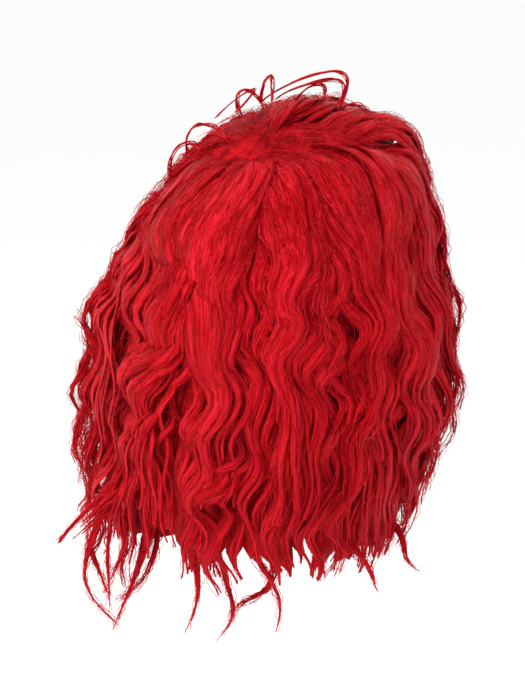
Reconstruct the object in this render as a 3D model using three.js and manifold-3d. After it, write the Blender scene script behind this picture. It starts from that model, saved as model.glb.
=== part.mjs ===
// A wavy red costume wig: a net cap with an elastic edge, and hair in panels of wavy locks sewn on it.
// Millimetres, +Z up. The origin is the crown of the head, inside the cap; the face looks along -Y.
import * as THREE from "three";
import Module from "manifold-3d";

const wasm = await Module();
wasm.setup();

// The head that the cap fits
const headHalfWidth = 77;
const headHalfDepth = 97;
const crownToWidest = 115;

// The cap and its edge band
const capWall = 2;
const bandWidth = 13;
const bandWall = 1.5;
const bandGap = 1.8;
const hairGap = 2.5; // between the cap and the backing of the hair, enough for flat facets on a round cap
const gap = 0.35;
const joinTolerance = 0.1; // slivers that joining leaves are cleaned up within this

// The cap's edge, as a share of crownToWidest below the crown, by the turn from the face round to the nape
const capEdge = [
  { turn: 0, drop: 0.43 },
  { turn: 28, drop: 0.52 },
  { turn: 48, drop: 0.82 },
  { turn: 62, drop: 1.1 },
  { turn: 82, drop: 0.99 },
  { turn: 108, drop: 1.1 },
  { turn: 140, drop: 1.33 },
  { turn: 180, drop: 1.42 },
];

// The outer form of the hair
const hairTop = 25; // above the crown of the head
const shoulderDrop = 70; // crown to where the hair turns from the dome to the hanging curtain
const hairDrop = 330; // crown to the end of the longest locks
const hairReachSide = 128; // from the axis to the widest point of the curtain, left and right
const hairReachBack = 138;
const hairReachFront = 115;
const topLean = [-16, -10]; // how far the top of the hair leans to the wearer's right and front
const whorl = [-10, 62]; // where the hair turns out from the crown, seen from above
const partingEnd = [-54, 26]; // where the parting that starts at the whorl ends, seen from above

// The curtain's rings from the shoulder down: level as a share of the curtain's height, reaches as shares
const curtainRings = [
  { level: 0.0, left: 0.76, back: 0.82, right: 0.76, front: 0.98 },
  { level: 0.2, left: 1.0, back: 0.93, right: 0.9, front: 0.98 },
  { level: 0.41, left: 1.12, back: 0.98, right: 0.96, front: 0.96 },
  { level: 0.63, left: 1.14, back: 1.0, right: 0.86, front: 0.88 },
  { level: 0.84, left: 1.08, back: 0.97, right: 0.72, front: 0.78 },
  { level: 1.0, left: 1.04, back: 0.95, right: 0.68, front: 0.76 },
];

// The locks
const faceHalfAngle = 42; // half of the opening in the curtain, seen from above
const sideSplit = 30; // the turn from each side at which the back curtain meets the side curtains
const waveLength = 48;
const waveHeight = 8;
const lockWidth = 42;
const lockDepth = 20;

// A lock's width and depth along it, as shares of lockWidth and lockDepth
const lockTaper = [
  { at: 0.0, width: 0.4, depth: 0.5 },
  { at: 0.2, width: 0.95, depth: 0.9 },
  { at: 0.6, width: 1.0, depth: 1.0 },
  { at: 0.8, width: 0.68, depth: 0.85 },
  { at: 0.92, width: 0.3, depth: 0.5 },
  { at: 1.0, width: 0.06, depth: 0.12 },
];

// Where the dense hair ends, by compass turn from the wearer's left over the back, as a share of hairDrop
const hemLine = [
  { turn: -50, drop: 0.74 },
  { turn: 45, drop: 0.82 },
  { turn: 100, drop: 0.8 },
  { turn: 165, drop: 0.85 },
  { turn: 230, drop: 0.72 },
];

// The crown's locks, by compass turn from the wearer's left over the back: how far each sweeps round, where
// it ends as a share of hairDrop, where its wave starts as a share of waveLength, and its size
const crownRows = [
  { turn: -34, sweep: 4, drop: 0.58, phase: 0.27, size: 0.95 },
  { turn: -16, sweep: -3, drop: 0.68, phase: 0.42, size: 1.05 },
  { turn: 8, sweep: -5, drop: 0.7, phase: 0.3, size: 1.0 },
  { turn: 34, sweep: -4, drop: 0.72, phase: 0.9, size: 0.92 },
  { turn: 58, sweep: 4, drop: 0.66, phase: 0.62, size: 0.95 },
  { turn: 81, sweep: 3, drop: 0.74, phase: 0.1, size: 0.98 },
  { turn: 102, sweep: 2, drop: 0.71, phase: 0.54, size: 1.08 },
  { turn: 126, sweep: -2, drop: 0.74, phase: 0.354, size: 1.02 },
  { turn: 150, sweep: 3, drop: 0.7, phase: 0.9, size: 0.92 },
  { turn: 171, sweep: 0, drop: 0.72, phase: 0.375, size: 1.0 },
  { turn: 193, sweep: 4, drop: 0.6, phase: 0.3, size: 1.0 },
  { turn: 214, sweep: 3, drop: 0.64, phase: 0.74, size: 1.0 },
];

// The locks that hang from under the crown's, by compass turn from the wearer's left over the back:
// where each ends as a share of hairDrop, how far it swings out at its end, and its size
const hangingLocks = [
  { turn: -38, drop: 0.8, out: 0.3, size: 0.85 },
  { turn: -18, drop: 0.86, out: 0.4, size: 0.95 },
  { turn: 3, drop: 0.9, out: 0.45, size: 0.95 },
  { turn: 21, drop: 0.86, out: 0.95, size: 0.8 },
  { turn: 40, drop: 0.92, out: 0.5, size: 0.95 },
  { turn: 56, drop: 0.995, out: 0.5, size: 0.9 },
  { turn: 75, drop: 0.91, out: 0.45, size: 1.0 },
  { turn: 91, drop: 0.967, out: 0.4, size: 0.9 },
  { turn: 106, drop: 0.96, out: 0.45, size: 0.95 },
  { turn: 122, drop: 0.936, out: 0.45, size: 0.95 },
  { turn: 139, drop: 0.86, out: 0.5, size: 0.95 },
  { turn: 157, drop: 0.87, out: 0.5, size: 0.85 },
  { turn: 174, drop: 0.86, out: 0.5, size: 0.85 },
  { turn: 191, drop: 0.87, out: 0.5, size: 0.8 },
  { turn: 208, drop: 0.78, out: 0.4, size: 0.8 },
  { turn: 222, drop: 0.74, out: 0.3, size: 0.75 },
];

// The locks of the fringe: how far each sweeps round to its end, and where it ends as a share of hairDrop
const fringeRows = [
  { turn: 245, sweep: -15, drop: 0.42 },
  { turn: 258, sweep: -22, drop: 0.32 },
  { turn: 271, sweep: 14, drop: 0.255 },
  { turn: 283, sweep: 22, drop: 0.335 },
  { turn: 296, sweep: 15, drop: 0.43 },
];

const shoulderZ = -shoulderDrop;
const curtainHeight = hairDrop - shoulderDrop;
const frontTurn = 270;
const firstTurn = frontTurn + faceHalfAngle - 360;
const lastTurn = frontTurn - faceHalfAngle;
const backingStart = 1 + gap / curtainHeight;
const upperLayer = 0.8;
const lowerLayer = 0.4;

const radians = THREE.MathUtils.degToRad;
const mix = THREE.MathUtils.lerp;
const clamp = THREE.MathUtils.clamp;
const ease = (x) => THREE.MathUtils.smoothstep(x, 0, 1);

// A number from 0 to 1 that is always the same for the same two numbers
function scatter(n, k) {
  const x = Math.sin(n * 12.9898 + k * 78.233) * 43758.5453;
  return x - Math.floor(x);
}

// A column of a table at a place between its rows, joined by smooth steps
function readTable(rows, key, at, column) {
  let i = 1;
  while (i < rows.length - 1 && at > rows[i][key]) i++;
  const [a, b] = [rows[i - 1], rows[i]];
  return mix(a[column], b[column], ease(clamp((at - a[key]) / (b[key] - a[key]), 0, 1)));
}

// The turn from the face, 0 to 180 degrees, of a compass turn
function turnFromFace(turn) {
  const off = Math.abs((((turn - frontTurn) % 360) + 540) % 360 - 180);
  return off;
}

// The cap's outer surface, grown outwards
function capShape(grow) {
  return {
    halfWidth: headHalfWidth + grow,
    halfDepth: headHalfDepth + grow,
    height: crownToWidest + grow,
  };
}

// A point of the grown cap at a height, cut off below the nape so that the wall hangs straight
function capRing(turn, z, grow) {
  const shape = capShape(grow);
  const lowest = -crownToWidest * capEdge[capEdge.length - 1].drop;
  const up = (Math.max(z, lowest) + crownToWidest) / shape.height;
  const share = Math.sqrt(Math.max(0, 1 - up * up));
  const reach = shape.halfWidth * shape.halfDepth /
    Math.hypot(shape.halfDepth * Math.cos(radians(turn)), shape.halfWidth * Math.sin(radians(turn)));
  return [reach * share * Math.cos(radians(turn)), reach * share * Math.sin(radians(turn)), z];
}

// The reach of the hair's outer form at a level of the curtain, joined round by squares of sine and cosine
function curtainReach(turn, level) {
  const [c, s] = [Math.cos(radians(turn)), Math.sin(radians(turn))];
  const side = readTable(curtainRings, "level", level, c > 0 ? "left" : "right") * hairReachSide;
  const end = s > 0
    ? readTable(curtainRings, "level", level, "back") * hairReachBack
    : readTable(curtainRings, "level", level, "front") * hairReachFront;
  return side * c * c + end * s * s;
}

// Where the hair with a compass turn leaves the scalp: at the whorl, or along the parting for the right side
function rootOf(turn) {
  const right = ease((turn - 120) / 60) * (1 - ease((turn - 215) / 70));
  return whorl.map((v, i) => mix(v, partingEnd[i], right));
}

// The hair's outer form. Along runs from 0 at the root over the dome to 1 at the shoulder and 2 at the hem.
function outerPoint(turn, along, root) {
  const facing = [Math.cos(radians(turn)), Math.sin(radians(turn))];
  if (along >= 1) {
    const reach = curtainReach(turn, along - 1);
    return [reach * facing[0], reach * facing[1], shoulderZ - (along - 1) * curtainHeight];
  }
  const run = Math.sin((along * Math.PI) / 2);
  const shoulder = curtainReach(turn, 0);
  const x = mix(root[0], shoulder * facing[0], run);
  const y = mix(root[1], shoulder * facing[1], run);
  const out = Math.min(1, Math.hypot(x, y) / curtainReach(THREE.MathUtils.radToDeg(Math.atan2(y, x)), 0));
  const up = Math.sqrt(1 - out * out);
  return [x + topLean[0] * up, y + topLean[1] * up, shoulderZ + (hairTop + shoulderDrop) * up];
}

// The hair's inner form, on the grown cap and straight down below it, with the same turn and along
function innerPoint(turn, along, root, grow) {
  if (along >= 1) return capRing(turn, shoulderZ - (along - 1) * curtainHeight, grow);
  const shape = capShape(grow);
  const edge = capRing(turn, shoulderZ, grow);
  const run = Math.sin((along * Math.PI) / 2);
  const x = mix(root[0], edge[0], run);
  const y = mix(root[1], edge[1], run);
  const out = Math.hypot(x / shape.halfWidth, y / shape.halfDepth);
  return [x, y, -crownToWidest + shape.height * Math.sqrt(1 - out * out)];
}

// A point between the hair's inner form, layer 0, and its outer form, layer 1
function hairPoint(turn, along, layer, root = [0, 0]) {
  const inner = innerPoint(turn, along, root, capWall + hairGap);
  const outer = outerPoint(turn, along, root);
  return inner.map((v, i) => mix(v, outer[i], layer));
}

// A closed solid from rows of points, each row going round; ends of one point are closed by a fan
function solidOf(rows) {
  const points = [];
  const starts = rows.map((row) => {
    const start = points.length / 3;
    row.forEach((p) => points.push(...p));
    return start;
  });
  const faces = [];
  for (let j = 1; j < rows.length; j++) {
    const [a, b] = [rows[j - 1].length, rows[j].length];
    const count = Math.max(a, b);
    for (let i = 0; i < count; i++) {
      const next = (i + 1) % count;
      const [p, q] = [starts[j - 1] + (a > 1 ? i : 0), starts[j - 1] + (a > 1 ? next : 0)];
      const [r, s] = [starts[j] + (b > 1 ? i : 0), starts[j] + (b > 1 ? next : 0)];
      if (a > 1) faces.push(p, q, r);
      if (b > 1) faces.push(q, s, r);
    }
  }
  const mesh = (triangles) => new wasm.Manifold(new wasm.Mesh({
    numProp: 3,
    vertProperties: new Float32Array(points),
    triVerts: new Uint32Array(triangles),
  }));
  const made = mesh(faces);
  if (made.volume() > 0) return made;
  for (let i = 0; i < faces.length; i += 3) [faces[i + 1], faces[i + 2]] = [faces[i + 2], faces[i + 1]];
  return mesh(faces);
}

// A wall between two surfaces given by functions of (turn, share down); its section goes round each edge
function wallPanel(outer, inner, turns, steps) {
  const down = Array.from({ length: steps + 1 }, (_, j) => j / steps);
  const middle = (rows) => rows.reduce((m, p) => m.map((v, i) => v + p[i] / rows.length), [0, 0, 0]);
  const section = (turn) => [
    ...down.map((v) => outer(turn, v)),
    ...[...down].reverse().map((v) => inner(turn, v)),
  ];
  const rows = turns.map(section);
  return solidOf([[middle(rows[0])], ...rows, [middle(rows[rows.length - 1])]]);
}

// A dome between two surfaces whose rows start at one point
function wallDome(outer, inner, count, steps) {
  const turns = Array.from({ length: count }, (_, i) => (i * 360) / count);
  const row = (surface, v) => turns.map((turn) => surface(turn, v));
  const rows = [[outer(0, 0)]];
  for (let j = 1; j <= steps; j++) rows.push(row(outer, j / steps));
  for (let j = steps; j >= 1; j--) rows.push(row(inner, j / steps));
  rows.push([inner(0, 0)]);
  return solidOf(rows);
}

// The compass turns from one to another in equal steps
function turnsBetween(from, to, step) {
  const count = Math.max(2, Math.round((to - from) / step));
  return Array.from({ length: count + 1 }, (_, i) => mix(from, to, i / count));
}

// The middle line of a lock with its outward and sideways directions, waved more and more from its root
function lockLine(lock) {
  const place = (t, turnShift = 0) => {
    const turn = lock.turn + lock.sweep * ease(t) + turnShift;
    const along = mix(lock.from, lock.to, t);
    const layer = mix(lock.rootLayer, lock.layer, ease(t * 4)) + lock.out * t * t * t;
    return new THREE.Vector3(...hairPoint(turn, along, layer, rootOf(turn)));
  };
  const length = place(0).distanceTo(place(0.5)) + place(0.5).distanceTo(place(1));
  const steps = Math.max(6, Math.round((length * 3.6) / waveLength));
  const line = Array.from({ length: steps + 1 }, (_, k) => place(k / steps));
  let arc = 0;
  return line.map((p, k) => {
    if (k) arc += p.distanceTo(line[k - 1]);
    const ahead = line[Math.min(k + 1, steps)].clone().sub(line[Math.max(k - 1, 0)]).normalize();
    const beside = place(k / steps, 2).sub(p);
    const out = new THREE.Vector3().crossVectors(ahead, beside).normalize();
    const sideways = new THREE.Vector3().crossVectors(ahead, out);
    const turn = 2 * Math.PI * (arc / waveLength + lock.phase);
    const swing = waveHeight * ease(arc / waveLength) * lock.wave;
    const middle = p.clone()
      .addScaledVector(sideways, swing * Math.sin(turn))
      .addScaledVector(out, swing * 0.3 * Math.cos(turn));
    return { middle, sideways, out };
  });
}

// A lock's section, in shares of its half width and half depth: ridged outside, flat inside
const lockSection = [
  { side: 1, out: 0 },
  { side: 0, out: 1 },
  { side: -1, out: 0 },
  { side: 0, out: -0.5 },
];

// A lock as a closed tapering body
function lockSolid(lock, grow = 0) {
  const line = lockLine(lock);
  const rows = line.map(({ middle, sideways, out }, k) => {
    const at = k / (line.length - 1);
    const width = (lockWidth / 2) * lock.size * readTable(lockTaper, "at", at, "width") + 2 * grow;
    const depth = (lockDepth / 2) * lock.size * readTable(lockTaper, "at", at, "depth") + 2 * grow;
    return lockSection.map((corner) => middle.clone()
      .addScaledVector(sideways, width * corner.side)
      .addScaledVector(out, depth * corner.out)
      .toArray());
  });
  const end = (k, before) => line[k].middle.clone()
    .add(line[k].middle.clone().sub(line[before].middle).setLength(grow)).toArray();
  return solidOf([[end(0, 1)], ...rows, [end(line.length - 1, line.length - 2)]]);
}

// The along value at which a curtain point lies a given depth under the crown
const alongAtDrop = (drop) => 1 + (drop - shoulderDrop) / curtainHeight;

// How far the dense hair of the curtain reaches down
function hemDrop(turn) {
  return readTable(hemLine, "turn", turn, "drop") * hairDrop;
}

// The crown's locks turn out from the whorl and the parting and fall over the curtain
function upperLocks() {
  return crownRows.map((row, i) => ({
    ...row, from: mix(0.14, 0.28, i % 2), to: alongAtDrop(row.drop * hairDrop), rootLayer: 0.5,
    layer: upperLayer, out: 0.12, wave: 1,
  }));
}

// The top locks run forward from the parting over the crown to the hairline
function topLocks() {
  return [238, 259, 281, 302].map((turn, i) => ({
    turn, sweep: mix(-5, 5, i % 2), from: 0.08 + 0.07 * (i % 2), to: 0.8, rootLayer: 0.5, layer: 0.74, out: 0,
    phase: scatter(i, 10), wave: 0.6, size: 1.1,
  }));
}

// The locks of a curtain panel start under the upper ones and end in points
function curtainLocks(from, to) {
  return hangingLocks.filter((row) => row.turn >= from && row.turn < to).map((row, i) => ({
    turn: row.turn, sweep: mix(-4, 4, scatter(row.turn, 6)), from: 1.1, to: alongAtDrop(row.drop * hairDrop),
    rootLayer: 0.25, layer: lowerLayer, out: row.out, phase: scatter(row.turn, 7), wave: 1.1, size: row.size,
  }));
}

// The fringe's locks leave the hairline and sweep to each side of the face
function fringeLocks() {
  return fringeRows.map((row, i) => ({
    turn: row.turn, sweep: row.sweep, from: 0.74, to: alongAtDrop(row.drop * hairDrop), rootLayer: 0.4,
    layer: 0.66, out: 0.1, phase: scatter(i, 9), wave: 0.7, size: 0.6,
  }));
}

// How far down the crown panel reaches, held back over the face for the fringe
function crownEnd(turn) {
  const off = turnFromFace(turn);
  return mix(0.7, 1, ease(clamp((off - faceHalfAngle + 14) / 22, 0, 1)));
}

// The along value of the hairline over the face
const hairlineAlong = 0.85;

function crownBacking(grow = 0) {
  const along = (turn, v) => (crownEnd(turn) + grow / curtainHeight) * v;
  const outer = (turn, v) => hairPoint(turn, along(turn, v), 0.5 + grow / 15);
  const inner = (turn, v) => hairPoint(turn, along(turn, v), 0);
  return wallDome(outer, inner, 24, 6);
}

function fringeBacking() {
  const [from, to] = [frontTurn - faceHalfAngle + 8, frontTurn + faceHalfAngle - 8];
  const along = (turn, v) => mix(crownEnd(turn) + (3 * gap) / curtainHeight, hairlineAlong, v);
  const outer = (turn, v) => hairPoint(turn, along(turn, v), 0.5);
  const inner = (turn, v) => hairPoint(turn, along(turn, v), 0);
  return wallPanel(outer, inner, turnsBetween(from, to, 12), 2);
}

function curtainBacking(from, to, grow = 0) {
  const end = (turn) => alongAtDrop(hemDrop(turn) + grow);
  const along = (turn, v) => mix(backingStart - grow / curtainHeight, end(turn), v);
  const outer = (turn, v) => hairPoint(turn, along(turn, v), mix(0.4, 0.3, v) + grow / 20);
  const inner = (turn, v) => hairPoint(turn, along(turn, v), 0.02 - grow / 20);
  return wallPanel(outer, inner, turnsBetween(from - grow / 2, to + grow / 2, 12), 5);
}

// The pieces joined into one body, less the bodies that it has to clear; what is cut loose falls away
function panel(solids, cleared = []) {
  const joined = wasm.Manifold.union(solids);
  const cut = cleared.length ? joined.subtract(wasm.Manifold.union(cleared)) : joined;
  return cut.simplify(joinTolerance).decompose().reduce((a, b) => (a.volume() > b.volume() ? a : b));
}

function capNet() {
  const surface = (grow) => (turn, v) => {
    const z = -crownToWidest * readTable(capEdge, "turn", turnFromFace(turn), "drop");
    const shape = capShape(grow);
    const full = Math.acos(clamp((z + crownToWidest) / shape.height, -1, 1));
    return capRing(turn, -crownToWidest + shape.height * Math.cos(full * v), grow);
  };
  return wallDome(surface(capWall), surface(0), 24, 6);
}

// The elastic band lies inside the cap along its edge
function edgeBand() {
  const edge = (turn) => -crownToWidest * readTable(capEdge, "turn", turnFromFace(turn), "drop");
  const turns = Array.from({ length: 24 }, (_, i) => (i * 360) / 24);
  const rows = turns.map((turn) => {
    const [low, high] = [edge(turn) + gap, edge(turn) + bandWidth];
    return [
      capRing(turn, low, -bandGap), capRing(turn, high, -bandGap),
      capRing(turn, high, -bandGap - bandWall), capRing(turn, low, -bandGap - bandWall),
    ];
  });
  return ringOf(rows);
}

// A closed ring from sections that follow each other round
function ringOf(rows) {
  const count = rows[0].length;
  const points = rows.flat(2);
  const faces = [];
  rows.forEach((_, j) => {
    const after = (j + 1) % rows.length;
    for (let i = 0; i < count; i++) {
      const next = (i + 1) % count;
      faces.push(j * count + i, after * count + i, j * count + next);
      faces.push(j * count + next, after * count + i, after * count + next);
    }
  });
  return new wasm.Manifold(new wasm.Mesh({
    numProp: 3, vertProperties: new Float32Array(points), triVerts: new Uint32Array(faces),
  }));
}

// A three.js mesh of a manifold solid
function meshOf(name, solid, material) {
  const { vertProperties, triVerts } = solid.getMesh();
  const geometry = new THREE.BufferGeometry();
  geometry.setAttribute("position", new THREE.BufferAttribute(vertProperties, 3));
  geometry.setIndex(new THREE.BufferAttribute(triVerts, 1));
  geometry.computeVertexNormals();
  const mesh = new THREE.Mesh(geometry, material);
  mesh.name = name;
  return mesh;
}

const net = new THREE.MeshStandardMaterial({ color: 0x1c0c0d, roughness: 0.9, metalness: 0 });
const elastic = new THREE.MeshStandardMaterial({ color: 0x241012, roughness: 0.8, metalness: 0 });
const hair = new THREE.MeshStandardMaterial({ color: 0xb01420, roughness: 0.45, metalness: 0 });

const splitGap = 0.3;
const crownLocks = [...upperLocks(), ...topLocks()];
const backLocks = curtainLocks(sideSplit, 180 - sideSplit);
const leftLocks = curtainLocks(firstTurn, sideSplit);
const rightLocks = curtainLocks(180 - sideSplit, lastTurn);
const frontLocks = fringeLocks();

const grown = (locks) => locks.map((lock) => lockSolid(lock, gap));
const whole = (locks) => locks.map((lock) => lockSolid(lock));
const clearCrown = [...grown(crownLocks), crownBacking(gap)];
const backFrom = sideSplit + splitGap;
const backTo = 180 - sideSplit - splitGap;
const clearBack = [...grown(backLocks), curtainBacking(backFrom, backTo, gap)];

const parts = {
  hair_crown: panel([crownBacking(0), ...whole(crownLocks)]),
  hair_fringe: panel([fringeBacking(), ...whole(frontLocks)], clearCrown),
  hair_back: panel([curtainBacking(backFrom, backTo), ...whole(backLocks)], clearCrown),
};
parts.hair_left = panel([curtainBacking(firstTurn, sideSplit - splitGap), ...whole(leftLocks)],
  [...clearCrown, ...grown(frontLocks), ...clearBack]);
parts.hair_right = panel([curtainBacking(180 - sideSplit + splitGap, lastTurn), ...whole(rightLocks)],
  [...clearCrown, ...grown(frontLocks), ...clearBack]);

const wig = new THREE.Group();
wig.add(meshOf("cap_net", capNet(), net));
wig.add(meshOf("edge_band", edgeBand(), elastic));
for (const [name, solid] of Object.entries(parts)) wig.add(meshOf(name, solid, hair));

export default wig;
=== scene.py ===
"""Looks of a wavy red costume wig: locks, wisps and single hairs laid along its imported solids."""

import bpy
import numpy as np
from mathutils import Matrix, Vector

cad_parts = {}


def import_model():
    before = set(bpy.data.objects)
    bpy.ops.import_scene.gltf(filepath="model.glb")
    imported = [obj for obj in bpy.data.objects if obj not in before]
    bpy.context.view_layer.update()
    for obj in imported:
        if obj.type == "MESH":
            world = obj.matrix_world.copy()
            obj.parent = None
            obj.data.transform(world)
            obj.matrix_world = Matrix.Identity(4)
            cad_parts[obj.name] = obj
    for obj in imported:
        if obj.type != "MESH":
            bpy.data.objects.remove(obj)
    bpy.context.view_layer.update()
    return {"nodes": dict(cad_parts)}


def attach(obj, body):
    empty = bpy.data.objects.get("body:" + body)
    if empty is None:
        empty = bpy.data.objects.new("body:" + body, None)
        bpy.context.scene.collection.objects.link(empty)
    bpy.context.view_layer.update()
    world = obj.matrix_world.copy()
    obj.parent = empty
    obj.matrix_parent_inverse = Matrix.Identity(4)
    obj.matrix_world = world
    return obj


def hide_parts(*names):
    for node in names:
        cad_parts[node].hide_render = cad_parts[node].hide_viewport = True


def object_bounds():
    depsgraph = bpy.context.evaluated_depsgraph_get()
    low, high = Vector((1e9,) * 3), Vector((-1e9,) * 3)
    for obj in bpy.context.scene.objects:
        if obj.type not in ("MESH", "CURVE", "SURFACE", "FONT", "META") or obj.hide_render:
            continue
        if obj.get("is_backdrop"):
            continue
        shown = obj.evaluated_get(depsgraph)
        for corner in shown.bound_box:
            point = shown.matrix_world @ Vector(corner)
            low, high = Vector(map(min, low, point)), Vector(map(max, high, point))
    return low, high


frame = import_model()

# Sizes of the wig in millimetres, as its solids have them
HEAD_HALF_WIDTH, HEAD_HALF_DEPTH, CROWN_TO_WIDEST = 77, 97, 115
CAP_WALL, HAIR_GAP = 2, 2.5
HAIR_TOP, SHOULDER_DROP, HAIR_DROP = 25, 70, 330
REACH_SIDE, REACH_BACK, REACH_FRONT = 128, 138, 115
TOP_LEAN = np.array([-16.0, -10.0])
WHORL = np.array([-10.0, 62.0])
PARTING_END = np.array([-54.0, 26.0])
LOWEST_CAP = -CROWN_TO_WIDEST * 1.42
FACE_HALF_ANGLE, SIDE_SPLIT = 42, 30
WAVE_LENGTH, WAVE_HEIGHT = 48, 8
SHOULDER_Z = -SHOULDER_DROP
CURTAIN_HEIGHT = HAIR_DROP - SHOULDER_DROP
FACE_TURN = 270
FIRST_TURN, LAST_TURN = FACE_TURN - 360 + FACE_HALF_ANGLE, FACE_TURN - FACE_HALF_ANGLE

# The photograph: where it was taken from, its size in pixels, and metres for each pixel
VIEW_TURN, VIEW_TILT, VIEW_REACH = 215, 12, 1.2
PHOTO_WIDTH, PHOTO_HEIGHT, PIXEL = 525, 700, 0.00068
HEAD_COLUMN, LENS_FRAME = 285, 36

# Sides of the tubes, and the tubes that share one strip of the UV map
BODY_SIDES, HAIR_SIDES, STACKED = 6, 3, 12


def columns(names, *rows):
    """A short table as one array for each named column."""
    return dict(zip(names.split(), np.array(rows, float).T))


CURTAIN = columns(
    "level left back right front",
    (0.0, 0.76, 0.82, 0.76, 0.98),
    (0.2, 1.0, 0.93, 0.9, 0.98),
    (0.41, 1.12, 0.98, 0.96, 0.96),
    (0.63, 1.14, 1.0, 0.86, 0.88),
    (0.84, 1.08, 0.97, 0.72, 0.78),
    (1.0, 1.04, 0.95, 0.68, 0.76),
)
HEM = columns("turn drop", (-50, 0.74), (45, 0.842), (100, 0.828), (165, 0.866), (230, 0.72))
CROWN_ROWS = columns(
    "turn sweep drop phase size",
    (-34, 4, 0.58, 0.27, 0.95),
    (-16, -3, 0.68, 0.42, 1.05),
    (8, -5, 0.7, 0.3, 1.0),
    (34, -4, 0.72, 0.9, 0.92),
    (58, 4, 0.66, 0.62, 0.95),
    (81, 3, 0.74, 0.1, 0.98),
    (102, 2, 0.71, 0.54, 1.08),
    (126, -2, 0.74, 0.354, 1.02),
    (150, 3, 0.7, 0.9, 0.92),
    (171, 0, 0.72, 0.375, 1.0),
    (193, 4, 0.6, 0.3, 1.0),
    (214, 3, 0.64, 0.74, 1.0),
)
HANGING_ROWS = columns(
    "turn drop out size",
    (-38, 0.8, 0.3, 0.85),
    (-18, 0.86, 0.4, 0.95),
    (3, 0.85, 0.45, 0.95),
    (21, 0.84, 0.5, 0.8),
    (40, 0.865, 0.5, 0.95),
    (56, 0.86, 0.5, 0.9),
    (75, 0.845, 0.45, 1.0),
    (91, 0.84, 0.4, 0.9),
    (106, 0.845, 0.45, 0.95),
    (122, 0.845, 0.45, 0.95),
    (139, 0.845, 0.45, 0.95),
    (157, 0.85, 0.4, 0.85),
    (174, 0.85, 0.3, 0.85),
    (191, 0.85, 0.15, 0.8),
    (208, 0.77, 0.1, 0.75),
    (222, 0.73, 0.1, 0.7),
)
FRINGE_ROWS = columns(
    "turn sweep drop",
    (245, -15, 0.42),
    (258, -22, 0.32),
    (271, 14, 0.255),
    (283, 22, 0.335),
    (296, 15, 0.43),
)


def ease(x):
    """A smooth step from 0 to 1."""
    x = np.clip(x, 0, 1)
    return x * x * (3 - 2 * x)


def mix(a, b, share):
    """A value between a and b."""
    return a + (b - a) * share


def scatter(n, k):
    """A number from 0 to 1 that is always the same for the same two numbers: part of a large sine."""
    x = np.sin(np.asarray(n) * 12.9898 + k * 78.233) * 43758.5453
    return x - np.floor(x)


def read_table(rows, key, at, column):
    """A column of a table between its rows, joined by smooth steps."""
    xs, ys = rows[key], rows[column]
    i = np.clip(np.searchsorted(xs, at), 1, len(xs) - 1)
    return mix(ys[i - 1], ys[i], ease((at - xs[i - 1]) / (xs[i] - xs[i - 1])))


def unit(v):
    """Vectors of length one."""
    return v / np.maximum(np.linalg.norm(v, axis=-1, keepdims=True), 1e-9)


def facing(turn):
    """The direction of a compass turn, seen from above."""
    t = np.radians(turn)
    return np.stack([np.cos(t), np.sin(t)], -1)


def cap_ring(turn, z, grow):
    """A point of the cap grown outwards: an ellipse whose size follows the ellipsoid's height."""
    wide, deep = HEAD_HALF_WIDTH + grow, HEAD_HALF_DEPTH + grow
    up = (np.maximum(z, LOWEST_CAP) + CROWN_TO_WIDEST) / (CROWN_TO_WIDEST + grow)
    share = np.sqrt(np.maximum(0, 1 - up * up))
    face = facing(turn)
    reach = wide * deep / np.hypot(deep * face[..., 0], wide * face[..., 1])
    height = np.broadcast_to(z, share.shape)
    return np.concatenate([face * (reach * share)[..., None], height[..., None]], -1)


def curtain_reach(turn, level):
    """The hair's reach from the axis: side and end reaches weighed by squares of cosine and sine."""
    face = facing(turn)
    c, s = face[..., 0], face[..., 1]
    side = np.where(c > 0, read_table(CURTAIN, "level", level, "left"),
                    read_table(CURTAIN, "level", level, "right")) * REACH_SIDE
    end = np.where(s > 0, read_table(CURTAIN, "level", level, "back") * REACH_BACK,
                   read_table(CURTAIN, "level", level, "front") * REACH_FRONT)
    return side * c * c + end * s * s


def root_of(turn):
    """Where hair of a compass turn leaves the scalp: the whorl, or a place along the parting."""
    right = ease((turn - 138) / 54) * (1 - ease((turn - 215) / 70))
    return mix(WHORL, PARTING_END, right[..., None])


def outer_point(turn, along, root):
    """The hair's outer form: a leaning dome up to along 1, and the curtain's rings below it."""
    low = np.maximum(along - 1, 0)
    hang = np.concatenate([facing(turn) * curtain_reach(turn, low)[..., None],
                           (SHOULDER_Z - low * CURTAIN_HEIGHT)[..., None]], -1)
    run = np.sin(np.minimum(along, 1) * np.pi / 2)[..., None]
    plan = mix(root, facing(turn) * curtain_reach(turn, 0.0 * along)[..., None], run)
    heading = np.degrees(np.arctan2(plan[..., 1], plan[..., 0]))
    out = np.minimum(1, np.hypot(plan[..., 0], plan[..., 1]) / curtain_reach(heading, 0.0 * along))
    up = np.sqrt(1 - out * out)[..., None]
    dome = np.concatenate([plan + TOP_LEAN * up, SHOULDER_Z + (HAIR_TOP + SHOULDER_DROP) * up], -1)
    return np.where((along >= 1)[..., None], hang, dome)


def inner_point(turn, along, root):
    """The hair's inner form: on the grown cap, and straight down below it."""
    grow = CAP_WALL + HAIR_GAP
    hang = cap_ring(turn, SHOULDER_Z - np.maximum(along - 1, 0) * CURTAIN_HEIGHT, grow)
    run = np.sin(np.minimum(along, 1) * np.pi / 2)[..., None]
    plan = mix(root, cap_ring(turn, SHOULDER_Z + 0.0 * along, grow)[..., :2], run)
    out = np.hypot(plan[..., 0] / (HEAD_HALF_WIDTH + grow), plan[..., 1] / (HEAD_HALF_DEPTH + grow))
    up = np.sqrt(np.maximum(0, 1 - out * out))[..., None]
    dome = np.concatenate([plan, -CROWN_TO_WIDEST + (CROWN_TO_WIDEST + grow) * up], -1)
    return np.where((along >= 1)[..., None], hang, dome)


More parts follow.
